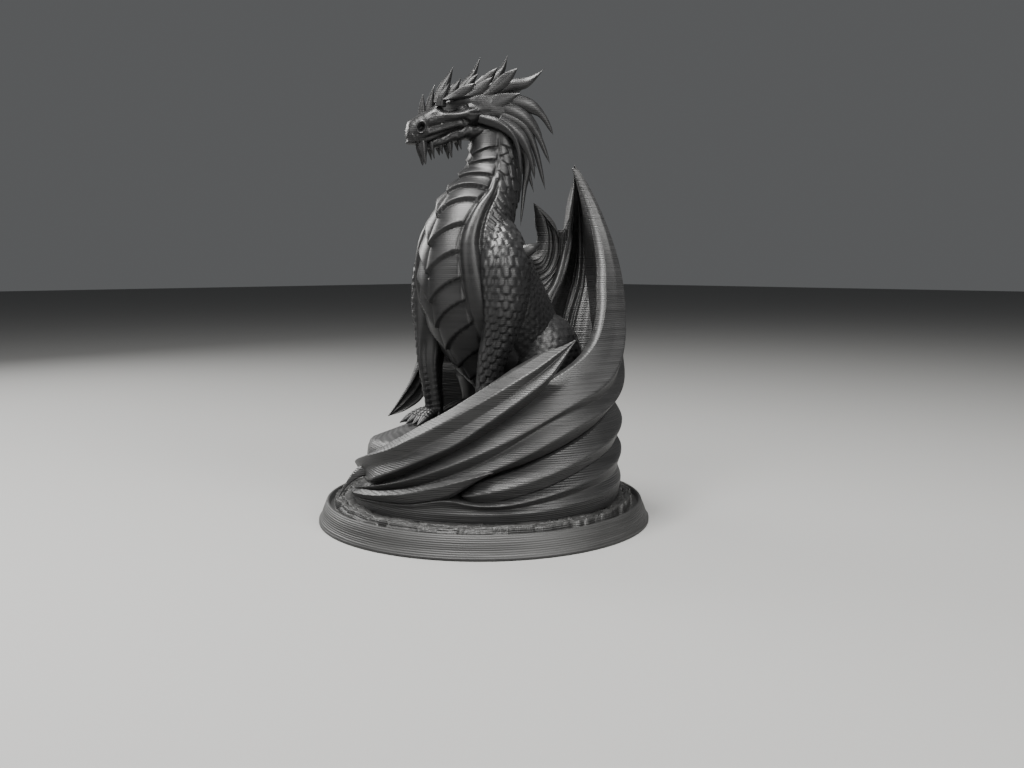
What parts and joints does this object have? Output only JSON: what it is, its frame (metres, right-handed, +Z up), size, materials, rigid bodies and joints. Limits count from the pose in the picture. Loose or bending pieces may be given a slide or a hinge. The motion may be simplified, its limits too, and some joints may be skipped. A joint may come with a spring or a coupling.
{
  "type": "dragon statue",
  "caption": "Seated dragon figure wrapped in its own fluted, spiralling wings on a round rocky plinth, 3-D printed in dark plastic.",
  "frame": {"origin": "centre of the plinth's underside", "axes": "+Z up, the dragon's chest faces -Y, its own left side is +X"},
  "size_m": [0.11, 0.11, 0.1512],
  "materials": {
    "dark_print_plastic": "satin dark grey filament, fine level layer lines",
    "plinth_print_plastic": "satin dark grey filament, fine level layer lines"
  },
  "bodies": {
    "root": {"plinth": "plinth_print_plastic", "dragon": "dark_print_plastic"}
  },
  "joints": []
}
